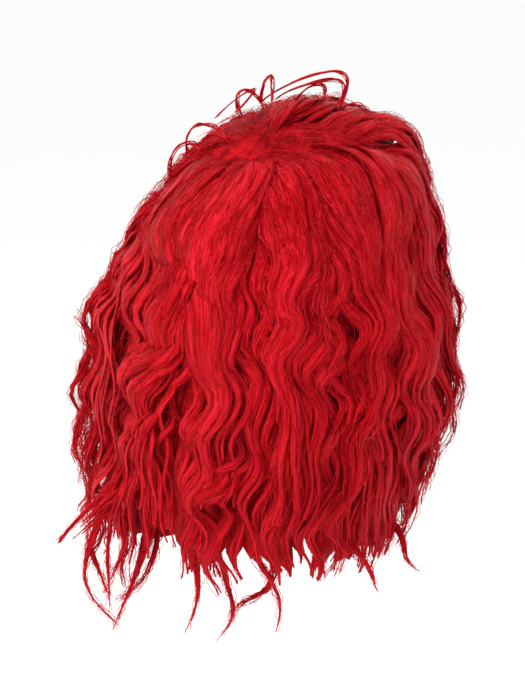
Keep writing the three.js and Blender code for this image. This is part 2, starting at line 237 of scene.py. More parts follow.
def hair_point(turn, along, layer, root):
    """A point between the hair's inner form, layer 0, and its outer form, layer 1."""
    return mix(inner_point(turn, along, root), outer_point(turn, along, root), layer[..., None])


def along_at(drop):
    """The along value of a depth under the crown."""
    return 1 + (drop * HAIR_DROP - SHOULDER_DROP) / CURTAIN_HEIGHT


def lock_family(turn, **values):
    """Locks as arrays of one value each, with the same names for every family."""
    known = dict(sweep=0, start=0.14, end=1.6, root_layer=0.5, layer=0.8, out=0.12, wave=1, size=1,
                 fan=10)
    known.update(values)
    known["turn"] = turn
    shape = np.shape(turn)
    return {name: np.broadcast_to(np.asarray(v, float), shape).copy() for name, v in known.items()}


SWELLS = columns(
    "turn width along length layer",
    (38, 26, 0.6, 0.22, -0.3),
    (38, 24, 1.08, 0.15, 0.16),
    (213, 20, 1.0, 0.16, 0.16),
    (205, 30, 1.85, 0.2, -0.4),
    (236, 26, 0.38, 0.13, 0.2),
)


def swelling(turn, along):
    """How much further out hair lies at a few broad places: bell curves over turn and along, added."""
    return sum(layer * np.exp(-((turn - middle) / width) ** 2 - ((along - depth) / length) ** 2)
               for middle, width, depth, length, layer in zip(*SWELLS.values()))


GRID_TURN = np.arange(-64, 325, 4.0)
GRID_ALONG = np.linspace(0, 2.2, 89)


def arc_grid():
    """Length from the crown along the hair's outer form, at each turn and along value of a grid."""
    turn, along = np.meshgrid(GRID_TURN, GRID_ALONG, indexing="ij")
    points = hair_point(turn, along, 0.7 + 0 * turn, root_of(turn))
    return np.cumsum(np.linalg.norm(np.diff(points, axis=1, prepend=points[:, :1]), axis=-1), axis=1)


ARCS = arc_grid()


def arc_at(turn, along):
    """The grid of lengths read between its places, straight in both ways."""
    i = np.clip((turn - GRID_TURN[0]) / (GRID_TURN[1] - GRID_TURN[0]), 0, len(GRID_TURN) - 1.001)
    j = np.clip(along / GRID_ALONG[1], 0, len(GRID_ALONG) - 1.001)
    i0, j0 = i.astype(int), j.astype(int)
    i, j = i - i0, j - j0
    near = mix(ARCS[i0, j0], ARCS[i0, j0 + 1], j)
    return mix(near, mix(ARCS[i0 + 1, j0], ARCS[i0 + 1, j0 + 1], j), i)


def crown_family():
    """The crown's locks over the curtain, and the top locks that run forward to the hairline."""
    rows = CROWN_ROWS
    over = lock_family(rows["turn"], sweep=rows["sweep"], start=0.13, end=along_at(rows["drop"]),
                       size=rows["size"], fan=10.5)
    n = np.arange(4)
    top = lock_family(np.array([235.0, 257, 280, 303]), sweep=mix(-5, 5, n % 2), start=0.1,
                      end=0.84, layer=0.76, out=0, wave=0.6, size=0.8, fan=13)
    return {name: np.concatenate([over[name], top[name]]) for name in over}


ROW_STARTS = mix(0.14, 0.28, np.arange(len(CROWN_ROWS["turn"])) % 2)
WAVE_STARTS = np.unwrap(CROWN_ROWS["phase"] - arc_at(CROWN_ROWS["turn"], ROW_STARTS) / WAVE_LENGTH,
                        period=1)
WAVES = dict(turn=CROWN_ROWS["turn"], phase=WAVE_STARTS)


def hanging_family(low, high):
    """The hanging locks of one panel."""
    rows = {name: v[(HANGING_ROWS["turn"] >= low) & (HANGING_ROWS["turn"] < high)]
            for name, v in HANGING_ROWS.items()}
    turn = rows["turn"]
    return lock_family(turn, sweep=mix(-4, 4, scatter(turn, 6)), start=1.05,
                       end=along_at(rows["drop"]), root_layer=0.4, layer=0.56, out=rows["out"] - 0.12,
                       wave=1.1, size=rows["size"], fan=7.5)


def middle_family(low, high, seed):
    """Locks between the crown's and the hanging ones, which fill the gaps down to the hem."""
    turn = np.arange(low + 5, high, 11.0)
    n = np.arange(len(turn)) + seed
    drop = read_table(HEM, "turn", turn, "drop") * mix(0.93, 1.0, scatter(n, 21))
    return lock_family(turn, sweep=mix(-6, 6, scatter(n, 22)), start=0.6, end=along_at(drop),
                       root_layer=0.5, layer=mix(0.62, 0.78, scatter(n, 23)), out=0.15,
                       wave=1.05, size=mix(0.7, 0.9, scatter(n, 25)), fan=7.0)


def under_family(low, high, seed):
    """Short dense locks under the others, which end along the hem line."""
    turn = np.arange(low + 3, high, 8.0)
    n = np.arange(len(turn)) + seed
    drop = read_table(HEM, "turn", turn, "drop") + mix(-0.02, 0.015, scatter(n, 31))
    layer = mix(-0.03, 0.52, n % 2) + mix(-0.04, 0.04, scatter(n, 33))
    return lock_family(turn, sweep=mix(-5, 5, scatter(n, 32)), start=1.15, end=along_at(drop),
                       root_layer=layer, layer=layer, out=0.1, wave=0.8, size=1.0, fan=6.5)


def fringe_family():
    """The fringe's locks."""
    rows = FRINGE_ROWS
    return lock_family(rows["turn"], sweep=rows["sweep"], start=0.56, end=along_at(rows["drop"]),
                       root_layer=0.5, layer=0.7, out=0.1, wave=0.7, size=0.6, fan=7.5)


def ripple(turn, arc, k):
    """A slow uneven field over turn and length, from -1 to 1: three sines of both, added."""
    return (np.sin(turn * 0.13 + arc * 0.021 + k) + np.sin(turn * 0.071 - arc * 0.034 + 2.3 * k)
            + np.sin(turn * 0.19 + arc * 0.012 + 4.1 * k)) / 3


def clumps(locks, per_lock, steps, rng, tight=0.3, jitter=0.03, drift=2.5, short=0.8, early=0.8,
           late=1.2, roots=0.0, roll=8.0, depth=0.08, flow=5.0, joined=0.95):
    """Middle lines and frames of clumps of hair, a number of them side by side in each lock.

    A clump keeps its place across its lock and closes in on the lock's middle over its last half. All
    hair waves by one slowly changing phase over the wig, so that neighbours run side by side. Clumps in
    the middle of a lock stand higher than at its sides, and slow sines move each one off its path."""
    count = len(locks["turn"]) * per_lock
    own = {name: np.repeat(v, per_lock)[:, None] for name, v in locks.items()}
    rank = np.tile(np.arange(per_lock), len(locks["turn"]))[:, None]
    t = 1 - (1 - np.linspace(0, 1, steps)[None, :]) ** 1.25

    def draw(low, high):
        return rng.uniform(low, high, (count, 1))

    def shared(low, high):
        return np.repeat(rng.uniform(low, high, (len(locks["turn"]), 1)), per_lock, axis=0)

    def slow(one, height):
        waves = [np.sin(2 * np.pi * (t * one(0.4, 1.5) + one(0, 1))) for _ in range(2)]
        return height * sum(waves) * ease(t * 2)

    across = (rank + 0.5) / per_lock * 2 - 1 + draw(-1, 1) * 0.9 / per_lock
    sunk = shared(-0.8, 0.8) + draw(-0.3, 0.3)
    start = own["start"] * draw(early, late)
    end = mix(start, own["end"], mix(draw(short, 1.0), 1, draw(0, 1) ** 3))
    closing = mix(1.0, mix(tight, 1, draw(0, 1) ** 3 * 0.8), ease((t - 0.4) / (joined - 0.4)))
    wander = slow(shared, drift) + slow(draw, 0.4 * drift) * closing + draw(-1, 1) * drift * t * t
    moved = np.clip(rng.normal(0, 1, (count, 1, 2)), -1.3, 1.3) * roots

    def place(shift):
        turn = own["turn"] + own["sweep"] * ease(t) + across * own["fan"] * closing
        turn = turn + wander * 0.5 + shift
        along = mix(start, end, t)
        bent = ripple(turn * 1.3, arc_at(turn, along) * 1.5, 3.0) * ease(along * 2.5)
        turn = turn + flow * bent
        layer = mix(own["root_layer"], own["layer"], ease(t * 4)) + own["out"] * t ** 3
        raised = 0.16 * (1 - across * across) * ease(t * 3) + sunk * depth * closing
        layer = layer + raised + swelling(turn, along) * np.minimum(1, layer * 1.25)
        return hair_point(turn, along, layer, root_of(turn) + moved), turn

    middle, turn = place(0.0)
    ahead = unit(np.gradient(middle, axis=1))
    out = unit(np.cross(ahead, place(2.0)[0] - middle))
    side = np.cross(ahead, out)
    arc = arc_at(turn, mix(start, end, t))
    swing = WAVE_HEIGHT * ease((arc - 45) / 110) * own["wave"] * shared(0.85, 1.2) * draw(0.9, 1.1)
    swing = swing * (0.68 + 0.42 * ripple(turn, arc, 1.0)) * mix(1, 0.5, ease((t - 0.7) / 0.3))
    phase = read_table(WAVES, "turn", turn, "phase") + shared(-0.2, 0.2)
    phase = phase + rng.normal(0, jitter, (count, 1))
    wave = 2 * np.pi * (arc / WAVE_LENGTH + phase + 0.25 * ripple(turn, arc, 2.0))
    line = middle + side * (swing * np.sin(wave))[..., None]
    line = line + out * (swing * 0.7 * np.cos(wave))[..., None]
    ahead = unit(np.gradient(line, axis=1))
    out = unit(out - ahead * np.sum(out * ahead, -1, keepdims=True))
    side = np.cross(ahead, out)
    turned = np.radians(roll * np.sin(2 * np.pi * (t * draw(0.8, 2.2) + draw(0, 1))))[..., None]
    stands = sunk + 0.8 * (1 - across ** 2) + 0.3 * draw(-1, 1)
    return dict(line=line, out=out * np.cos(turned) + side * np.sin(turned),
                side=side * np.cos(turned) - out * np.sin(turned), arc=np.broadcast_to(arc, turn.shape),
                t=np.broadcast_to(t, turn.shape), height=np.argsort(np.argsort(stands[:, 0])) / count,
                size=own["size"])


def bundle_shape(t, tip, full):
    """A clump's width along its length: quick growth from the root and a long taper to the tip."""
    return np.minimum(ease(t / 0.22 + 0.1), mix(1.0, tip, ease((t - full) / (1 - full))))


def surface(points, loops, totals, uv, look, strips=1):
    """Closed surfaces as arrays: points, corner indices, corners of each face, their UVs, their look and
    the number of UV strips that they need."""
    return dict(points=points, loops=loops, totals=totals, uv=uv, look=np.full(len(totals), look),
                strips=strips)


def ring_faces(rings, around):
    """Corner indices, and corners of each face, of a form lofted through rings of points: four-cornered
    faces from ring to ring, and at each end a fan round one of the two points after the rings'."""
    j, k = np.meshgrid(np.arange(rings - 1), np.arange(around), indexing="ij")
    after = (k + 1) % around
    quads = np.stack([j * around + k, (j + 1) * around + k, (j + 1) * around + after,
                      j * around + after], -1)
    k, after, last = k[0], after[0], (rings - 1) * around
    first = np.stack([np.full(around, rings * around), k, after], -1)
    final = np.stack([np.full(around, rings * around + 1), last + after, last + k], -1)
    return (np.concatenate([quads.ravel(), first.ravel(), final.ravel()]),
            np.repeat([4, 3], [(rings - 1) * around, 2 * around]))


def tubes(line, out, half_width, half_depth, sides, look, height=None):
    """Closed tapering tubes along lines: rings of an ellipse square to each line, and a point at each end.

    A tube's UV strip runs across its ring and along its length. A dozen tubes share each strip, in turn,
    or by height, from 0 for the lowest hair to 1 for the highest."""
    count, steps = line.shape[:2]
    strip = max(4, -(-count // STACKED))
    ahead = unit(np.gradient(line, axis=1))
    out = unit(out - ahead * np.sum(out * ahead, -1, keepdims=True))
    side = np.cross(ahead, out)
    angle = np.arange(sides) * 2 * np.pi / sides
    ring = (line[:, :, None] + side[:, :, None] * (half_width[..., None] * np.cos(angle))[..., None]
            + out[:, :, None] * (half_depth[..., None] * np.sin(angle))[..., None])
    tips = np.stack([line[:, 0] * 1.0, line[:, -1] + (line[:, -1] - line[:, -2]) * 0.4], 1)
    points = np.concatenate([ring.reshape(count, -1, 3), tips], 1)
    each, corners = ring_faces(steps, sides)
    loops = (each[None] + np.arange(count)[:, None] * points.shape[1]).ravel()
    totals = np.tile(corners, count)
    k = np.arange(sides)
    u = np.stack([k, k, k + 1, k + 1], -1) / sides
    u = np.broadcast_to(u, (steps - 1, sides, 4)).ravel()
    v = np.stack([np.zeros(sides), np.ones(sides), np.ones(sides), np.zeros(sides)], -1)
    v = ((np.arange(steps - 1)[:, None, None] + v[None]) / (steps - 1)).ravel()
    fan_u = np.stack([k + 0.5, k, k + 1], -1).ravel() / sides
    tip_u = np.stack([k + 0.5, k + 1, k], -1).ravel() / sides
    low_v = np.tile([0.0, 0.004, 0.004], sides)
    each_u = np.concatenate([u, fan_u, tip_u])
    each_v = np.concatenate([v * 0.99 + 0.005, low_v, 1 - low_v])
    index = np.arange(count) % strip
    if height is not None:
        index = np.minimum((height * strip).astype(int), strip - 1)
    uv = np.stack([(index[:, None] + 0.04 + 0.92 * each_u[None]) / strip,
                   np.broadcast_to(each_v, (count, len(each_v)))], -1)
    return surface(points.reshape(-1, 3), loops, totals, uv.reshape(-1, 2), look, strip)


def wall(rows, look, lengthwise):
    """A closed wall lofted through rings of points, a row for each, with a fan over the first and last."""
    count, around = rows.shape[:2]
    ends = np.stack([rows[0].mean(0), rows[-1].mean(0)])
    points = np.concatenate([rows.reshape(-1, 3), ends])
    loops, totals = ring_faces(count, around)
    k = np.arange(around)
    ring = np.stack([k, k, k + 1, k + 1], -1) / around
    ring = np.broadcast_to(ring, (count - 1, around, 4)).ravel()
    row = (np.arange(count - 1)[:, None, None] + np.array([0, 1, 1, 0])[None, None]) / (count - 1)
    row = np.broadcast_to(row, (count - 1, around, 4)).ravel()
    ring = np.concatenate([ring, np.tile(np.stack([k + 0.5, k, k + 1], -1).ravel() / around, 2)])
    row = np.concatenate([row, np.tile([0.0, 0.01, 0.01], around),
                          np.tile([1.0, 0.99, 0.99], around)])
    across, down = (row, ring) if lengthwise else (ring, row)
    return surface(points, loops, totals, np.stack([across, down], -1), look)


def piece(name, parts, looks, node=None):
    """A mesh object of closed surfaces, in metres at the origin, that rides with the wig. The UV strips
    of its surfaces lie side by side, in their order."""
    strips = np.cumsum([0] + [p["strips"] for p in parts])
    places = [np.stack([(first + p["uv"][:, 0] * p["strips"]) / strips[-1], p["uv"][:, 1]], -1)
              for p, first in zip(parts, strips)]
    starts = np.cumsum([0] + [len(p["points"]) for p in parts[:-1]])
    points = np.concatenate([p["points"] for p in parts]) * 0.001
    loops = np.concatenate([p["loops"] + s for p, s in zip(parts, starts)])
    totals = np.concatenate([p["totals"] for p in parts])
    mesh = bpy.data.meshes.new(name)
    mesh.vertices.add(len(points))
    mesh.loops.add(len(loops))
    mesh.polygons.add(len(totals))
    mesh.vertices.foreach_set("co", points.ravel())
    mesh.loops.foreach_set("vertex_index", loops.astype(np.int32))
    first_corners = np.concatenate([[0], np.cumsum(totals)[:-1]])
    mesh.polygons.foreach_set("loop_start", first_corners.astype(np.int32))
    mesh.update(calc_edges=True)
    indices = np.concatenate([p["look"] for p in parts])
    mesh.polygons.foreach_set("material_index", indices.astype(np.int32))
    mesh.shade_smooth()
    layer = mesh.uv_layers.new(name="OFBake")
    layer.data.foreach_set("uv", np.concatenate(places).ravel())
    for material in looks:
        mesh.materials.append(material)
    made = bpy.data.objects.new(name, mesh)
    bpy.context.scene.collection.objects.link(made)
    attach(made, "root")
    if node:
        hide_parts(node)
    return made


class Socket:
    """A node's output whose operators add Math nodes, so that shader maths reads as an expression."""

    def __init__(self, look, out):
        self.look = look
        self.out = out

    def math(self, operation, *values):
        return self.look.node("ShaderNodeMath", dict(operation=operation), dict(enumerate(values)))

    def __add__(self, other):
        return self.math("ADD", self, other)

    def __sub__(self, other):
        return self.math("SUBTRACT", self, other)

    def __mul__(self, other):
        return self.math("MULTIPLY", self, other)

    def __rsub__(self, other):
        return self.math("SUBTRACT", other, self)

    def between(self, low, high):
        """0 below low, 1 above high and a smooth step between them."""
        return self.look.node("ShaderNodeMapRange", dict(interpolation_type="SMOOTHSTEP"),
                              {"Value": self, "From Min": low, "From Max": high})

    __radd__ = __add__


class Look:
    """A material whose nodes all come from one method."""

    def __init__(self, name):
        self.material = bpy.data.materials.new(name)
        self.material.use_nodes = True
        self.tree = self.material.node_tree
        self.shader = self.tree.nodes["Principled BSDF"]

    def node(self, kind, settings=None, sockets=None, output=0):
        made = self.tree.nodes.new(kind)
        for name, value in (settings or {}).items():
            if name == "stops":
                ramp = made.color_ramp.elements
                while len(ramp) < len(value):
                    ramp.new(0.5)
                for stop, (place, colour) in zip(ramp, value):
                    stop.position = place
                    stop.color = (*colour, 1)
            else:
                setattr(made, name, value)
        for name, value in (sockets or {}).items():
            if isinstance(value, Socket):
                self.tree.links.new(value.out, made.inputs[name])
            elif value is not None:
                made.inputs[name].default_value = value
        return Socket(self, made.outputs[output])

    def set(self, **sockets):
        for name, value in sockets.items():
            name = name.replace("_", " ")
            if isinstance(value, Socket):
                self.tree.links.new(value.out, self.shader.inputs[name])
            else:
                self.shader.inputs[name].default_value = value


THREAD_HIGHLIGHT_AND_RIDGE = 0.4


def hair_look(name, dark, middle, light, fibres, fibre_bump, shine, tip_painted_glow=0.7, height_painted_light_and_tone=0.3):
    """Silky red fibre: fine streaks along the hair, slower light and dark bands across it, tips painted
    paler as light shining through them, painted shade near the roots, and thin bright threads,
    painted highlights, that wander along it where a stretched noise passes its middle value. Tubes
    whose UV strip is set by height are painted lighter the higher they stand and in painted shade the
    lower; for tubes laid in turn the strip only varies the tone. The palest stop is pinker, a painted
    highlight."""
    look = Look(name)
    uv = look.node("ShaderNodeUVMap", dict(uv_map="OFBake"))
    parts = look.node("ShaderNodeSeparateXYZ", sockets={0: uv})
    u = parts
    v = Socket(look, parts.out.node.outputs[1])

    def streaks(across, down, detail):
        place = look.node("ShaderNodeCombineXYZ", sockets={0: u * across, 1: v * down})
        return look.node("ShaderNodeTexNoise", dict(noise_dimensions="2D"),
                         {"Vector": place, "Scale": 1.0, "Detail": detail, "Roughness": 0.6})

    fine = streaks(fibres, 9.0, 2.0)
    broad = streaks(fibres * 0.16, 7.0, 1.0)
    off = streaks(fibres * 0.35, 14.0, 1.0) - 0.5
    # Painted highlight: the bright threads lighten the colour; the same threads are raised as ridges in the
    # bump
    thread = 1 - (off * off).between(0.0, 0.0016)
    # Painted shade near the roots, where the hair lies under the rest; painted light at the tips (v) and on
    # high-standing tubes (u), with painted shade on low ones
    root = 1 - v.between(0.0, 0.16)
    tone = fine * 1.6 + broad * 0.8 + v * tip_painted_glow * 0.2 + u * height_painted_light_and_tone - root * 0.3 - 0.84
    tone = tone + thread * THREAD_HIGHLIGHT_AND_RIDGE - height_painted_light_and_tone * 0.5
    # The palest stop is pinker than the others: a painted highlight on the brightest fibres
    colour = look.node("ShaderNodeValToRGB", dict(stops=[(0.28, dark), (0.5, middle), (0.78, light)]),
                       {0: tone})
    look.set(Base_Color=colour, Roughness=0.5 - 0.4 * shine + broad * 0.15, IOR=1.5)
    look.set(Specular_IOR_Level=shine, Specular_Tint=(1.0, 0.15, 0.18, 1))
    if fibre_bump:
        bump = look.node("ShaderNodeBump", sockets={"Strength": fibre_bump, "Distance": 0.001,
                                                    "Height": fine + thread * THREAD_HIGHLIGHT_AND_RIDGE})
        look.set(Normal=bump)
    return look.material


# Painted shade: the dense under-hair is painted darker and duller than the locks, as shade under the outer
# hair, without the tips' or high strips' painted light
SHADED_UNDER_HAIR = hair_look("painted_shade_under_hair", (0.24, 0.002, 0.005), (0.4, 0.004, 0.009), (0.6, 0.01, 0.017),
                  fibres=900, fibre_bump=0.4, shine=0.02, tip_painted_glow=0.0, height_painted_light_and_tone=0.0)
LOCKS = hair_look("silky_lock_hair", (0.29, 0.001, 0.003), (0.43, 0.003, 0.008), (0.64, 0.013, 0.023),
                  fibres=540, fibre_bump=0.36, shine=0.13)
# Painted light: the single hairs are painted paler than the locks, as light shining through thin strands
HAIRS = hair_look("single_hairs", (0.38, 0.002, 0.006), (0.5, 0.004, 0.01), (0.71, 0.02, 0.032),
                  fibres=90, fibre_bump=0, shine=0.14)


def net_look():
    """Dark knitted net: rows of small stitches raised on a dull ground."""
    look = Look("knitted_net")
    place = look.node("ShaderNodeTexCoord", output=3)
    stitch = look.node("ShaderNodeTexVoronoi", dict(feature="DISTANCE_TO_EDGE"),
                       {"Vector": place, "Scale": 420.0})
    thread = stitch.between(0.02, 0.12)
    stops = [(0.0, (0.05, 0.006, 0.008)), (1.0, (0.012, 0.003, 0.004))]
    colour = look.node("ShaderNodeValToRGB", dict(stops=stops), {0: thread})
    bump = look.node("ShaderNodeBump",
                     sockets={"Strength": 0.7, "Distance": 0.0006, "Height": 1 - thread})
    look.set(Base_Color=colour, Roughness=0.85, Normal=bump)
    return look.material


def elastic_look():
    """Woven elastic: ribs round the band, each lighter along its crest as a painted sheen."""
    look = Look("woven_elastic")
    place = look.node("ShaderNodeTexCoord", output=3)
    height = Socket(look, look.node("ShaderNodeSeparateXYZ", sockets={0: place}).out.node.outputs[2])
    rib_and_painted_sheen = look.node("ShaderNodeMath", dict(operation="SINE"), {0: height * 4200.0})
    grain = look.node("ShaderNodeTexNoise", sockets={"Vector": place, "Scale": 900.0, "Detail": 2.0})
    # Painted sheen: the rib's sine lightens the colour along each rib and also raises it in the bump
    tone = rib_and_painted_sheen * 0.3 + grain * 0.6 + 0.1
    stops = [(0.2, (0.015, 0.004, 0.005)), (0.9, (0.06, 0.012, 0.014))]
    colour = look.node("ShaderNodeValToRGB", dict(stops=stops), {0: tone})
    bump = look.node("ShaderNodeBump", sockets={"Strength": 0.6, "Distance": 0.0005, "Height": tone})
    look.set(Base_Color=colour, Roughness=0.75, Normal=bump)
    return look.material


def clothe(node, material):
    """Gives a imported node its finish."""
    shown = frame["nodes"][node]
    shown.data.materials.clear()
    shown.data.materials.append(material)


clothe("cap_net", net_look())
clothe("edge_band", elastic_look())


def crown_end(turn):
    """How far down the crown panel reaches, held back over the face."""
    off = np.abs((turn - FACE_TURN + 540) % 360 - 180)
    return mix(0.7, 1.0, ease((off - FACE_HALF_ANGLE + 14) / 22))


def crown_wall():
    """The crown's dense hair: a dome between the cap and two thirds of the hair's depth, and thinner
    over the forehead."""
    turn = np.arange(72) * 5.0
    down = np.linspace(0.02, 1, 26)

    def sheet(layer, rows):
        t, d = np.meshgrid(turn, rows)
        root = np.zeros((*t.shape, 2))
        along = crown_end(t) * d
        ahead = ease(1 - np.abs(t - FACE_TURN) / 70) * ease(d * 2.5)
        high = layer * (mix(0.65, 1, ease(d * 2.5)) - 0.35 * ahead + swelling(t, along))
        return hair_point(t, along, high, root)

    return wall(np.concatenate([sheet(0.66, down), sheet(0.0, down[::-1])]), 0, False)


ALONG_STEP, MEAN_REACH = 215, 112


def stray_hairs(count, steps, rng, alongs, length=(35, 75), heading=35.0, curl=45.0, curl_length=22.0,
                layer=(0.78, 0.95), rise=0.04, radius=0.15):
    """Loose hairs that wander over the wig's outer form.

    Each starts at its own turn and along value and heads down, give or take an angle, which swings by
    a sine of its length. Its steps over the form are added up, with a typical length in mm for a whole
    along value and a typical reach from the axis, and its layer rises and falls once."""
    def draw(low, high):
        return rng.uniform(low, high, (count, 1))

    reach = draw(*length)
    s = np.linspace(0, 1, steps)[None, :] * reach
    angle = np.radians(rng.normal(0, heading, (count, 1))
                       + curl * np.sin(2 * np.pi * (s / (curl_length * draw(0.7, 1.4)) + draw(0, 1))))
    step = reach / (steps - 1)
    along = draw(*alongs) + np.cumsum(np.cos(angle) * step, axis=1) / ALONG_STEP
    sideways = np.cumsum(np.sin(angle) * step, axis=1) / MEAN_REACH / np.clip(along * 1.3, 0.3, 1)
    turn = draw(FIRST_TURN, LAST_TURN) + np.degrees(sideways)
    along = np.abs(along)
    high = draw(*layer) + rise * np.sin(np.pi * s / reach) + 0.012 * np.sin(s / 4.0 + draw(0, 6))
    line = hair_point(turn, along, high, root_of(turn))
    ahead = unit(np.gradient(line, axis=1))
    out = unit(np.cross(ahead, hair_point(turn + 2, along, high, root_of(turn + 2)) - line))
    thick = radius * draw(0.7, 1.4) * mix(1, 0.6, s / reach)
    return tubes(line, out, thick, thick, HAIR_SIDES, 0)


def curtain_wall(low, high):
    """A curtain panel's dense hair from the shoulder to the hem line, thinner towards the face."""
    turn = np.linspace(low, high, max(4, int((high - low) / 3)))
    down = np.linspace(0, 1, 24)

    def side(outer, rows):
        t, d = np.meshgrid(turn, rows, indexing="ij")
        drop = read_table(HEM, "turn", t, "drop") - 0.025 - 0.07 * scatter(np.round(t), 3)
        along = mix(1.0, along_at(drop), d)
        inside = mix(0.25, 1, ease(np.minimum(t - FIRST_TURN, LAST_TURN - t) / 24))
        layer = np.full_like(d, 0.02)
        if outer:
            layer = (mix(0.64, 0.54, d) + 0.6 * swelling(t, along)) * inside
        root = np.zeros((*t.shape, 2))
        return hair_point(t, along, layer, root)

    return wall(np.concatenate([side(True, down), side(False, down[::-1])], 1), 0, True)


def fringe_wall():
    """The dense hair of the fringe along the hairline."""
    half = FACE_HALF_ANGLE - 8
    turn = np.linspace(FACE_TURN - half, FACE_TURN + half, 30)
    down = np.linspace(0, 1, 8)

    def side(layer, rows):
        t, d = np.meshgrid(turn, rows, indexing="ij")
        root = np.zeros((*t.shape, 2))
        return hair_point(t, mix(crown_end(t) + 0.004, 0.85, d), layer + 0.0 * t, root)

    return wall(np.concatenate([side(0.5, down), side(0.0, down[::-1])], 1), 0, True)


def bodies(made, rng, width=8.5, depth=1.0, tip=0.14, full=0.4, look=1):
    """The solid middle of each clump: a flat tube that its single hairs lie on."""
    t = made["t"]
    own = rng.uniform(0.65, 1.2, (len(t), 1)) * made["size"]
    shape = bundle_shape(t, tip, full)
    return tubes(made["line"], made["out"], width * own * shape, depth * shape ** 0.6, BODY_SIDES, look,
                 made["height"])


def hairs(made, per_clump, rng, width=7.0, depth=2.4, tip=0.2, full=0.4, radius=0.2, frizz=2.0,
          spread=1.25):
    """Single hairs of each clump: thin three-sided tubes that keep an angle and a distance from its
    middle, turn round it towards the tip, and wobble by sums of short sines."""
    count = len(made["t"]) * per_clump
    own = {name: np.repeat(made[name], per_clump, axis=0)
           for name in ("line", "out", "side", "t", "arc", "size")}
    t, arc, width = own["t"], own["arc"], width * own["size"]

    def draw(low, high):
        return rng.uniform(low, high, (count, 1))

    away = np.sqrt(draw(0.5, spread ** 2))
    angle = np.radians(draw(-25, 205)) + rng.normal(0, 2.2, (count, 1)) * ease(t * 1.3 - 0.3)
    shape = bundle_shape(t, tip, full)
    aside = away * np.cos(angle) * width * shape
    outward = away * np.sin(angle) * depth * shape ** 0.6
    for length, height in ((33.0, 0.9), (17.0, 0.4), (8.5, 0.2)):
        height = height * frizz * ease(arc / 90)
        aside = aside + height * np.sin(2 * np.pi * (arc / length * draw(0.8, 1.2) + draw(0, 1)))
        outward = outward + height * np.sin(2 * np.pi * (arc / length * draw(0.8, 1.2)
                                                         + draw(0, 1)))
    line = own["line"] + own["side"] * aside[..., None] + own["out"] * outward[..., None]
    thick = radius * mix(1.0, 0.6, ease(t * 1.4 - 0.4)) * (0.8 + 1.6 * draw(0, 1) ** 4)
    return tubes(line, own["out"], thick, np.minimum(thick, radius), HAIR_SIDES, 0)


PANELS = (("left", FIRST_TURN, SIDE_SPLIT, 40), ("back", SIDE_SPLIT, 180 - SIDE_SPLIT, 20),
          ("right", 180 - SIDE_SPLIT, LAST_TURN, 60))

VIEW_ANGLE, VIEW_RISE = np.radians([VIEW_TURN, VIEW_TILT])
VIEW_RIGHT = np.array([np.cos(VIEW_ANGLE), np.sin(VIEW_ANGLE), 0])
VIEW_NEAR = np.array([np.sin(VIEW_ANGLE), -np.cos(VIEW_ANGLE), 0])

FEATURES = columns(
    "turn sweep start drop layer out size wave",
    (37, -4, 0.9, 0.72, 0.9, 0.0, 0.4, 1.0),
    (63, 8, 1.3, 0.89, 0.75, 0.2, 0.6, 1.0),
    (99, 6, 1.3, 0.865, 0.8, 0.1, 0.7, 1.0),
    (150, -8, 1.2, 0.84, 0.95, 0.1, 0.6, 1.0),
    (131, 5, 0.2, 0.38, 0.9, 0.05, 0.35, 0.8),
)
WISPS = columns(
    "across rise to_across to_rise bow bend width near spread",
    (-140, -130, -129, -243, -4, 11, 1.5, 18, 3.5),
    (-128, -154, -131, -241, 1, 6, 1.2, 30, 2.5),
    (-123, -196, -130, -241, -5, 0, 1.0, 34, 1.5),
    (-124, -192, -127, -243, 7, -2, 1.2, 36, 2),
    (-118, -213, -126, -244, 6, 0, 1.0, 42, 1.5),
    (-90, -206, -153, -277, 2, 2, 2.6, 80, 6),
    (-95, -215, -141, -272, 5, 0, 2.2, 77, 5),
    (-97, -222, -136, -262, 3, 1, 2.3, 82, 5),
    (-123, -249, -115, -332, -17, 3, 1.5, 66, 2.5),
    (-134, -275, -118, -316, -1, 0, 0.8, 64, 1),
    (-114, -248, -119, -321, -3, -1, 1.0, 70, 1.5),
    (-105, -245, -122, -309, 5, 0, 1.0, 74, 1.5),
    (-92, -256, -115, -334, 3, 1, 1.7, 80, 3),
    (-86, -268, -119, -316, 10, 0, 0.8, 82, 1.5),
    (-65, -258, -66, -332, 7, -1, 1.8, 104, 3),
    (-44, -282, -45, -336, 9, -2, 1.4, 112, 2),
    (-6, -289, -37, -323, 1, 3, 0.9, 116, 1.5),
    (-24, -275, -7, -329, 8, -2, 1.5, 118, 2.5),
    (37, -267, 60, -304, 3, 0, 1.3, 108, 2),
    (71, -262, 90, -295, -1, 2, 1.3, 72, 2),
    (114, -93, 114, -147, 9, 0, 0.8, -6, 1),
    (111, -112, 109, -175, 8, 3, 1.0, -2, 2),
    (99, -44, 107, -98, 7, 0, 1.0, 4, 2.5),
)
LOOPS = columns(
    "across rise to_across to_rise height lean peak near",
    (-46, 8, -32, 12, 22, 45, 1.2, 30),
    (-17, 18, -9, 20, 16, 8, 1.0, 26),
    (-16, 20, 36, 16, 27, 30, 1.5, 15),
    (-6, 22, 34, 18, 20, 42, 1.35, 15),
    (-64, -16, -40, -8, 15, -15, 0.9, 42),
    (-75, -33, -56, -15, 12, -24, 1.0, 48),
    (6, 20, 26, 22, 12, 20, 1.2, 10),
    (38, 14, 58, 8, 8, 10, 1.0, 8),
    (-30, 10, -14, 16, 15, -20, 0.8, 22),
)


def feature_family():
    """Single bright locks that the photograph shows over the others."""
    rows = FEATURES
    return lock_family(rows["turn"], sweep=rows["sweep"], start=rows["start"],
                       end=along_at(rows["drop"]), root_layer=0.6, layer=rows["layer"], out=rows["out"],
                       wave=rows["wave"], size=rows["size"], fan=7 * rows["size"])


def seen_at(across, rise, near):
    """A place in space from where the view shows it: right of the head, above the crown and nearer."""
    high = (rise + near * np.sin(VIEW_RISE)) / np.cos(VIEW_RISE)
    return across[..., None] * VIEW_RIGHT + near[..., None] * VIEW_NEAR + high[..., None] * [0, 0, 1]


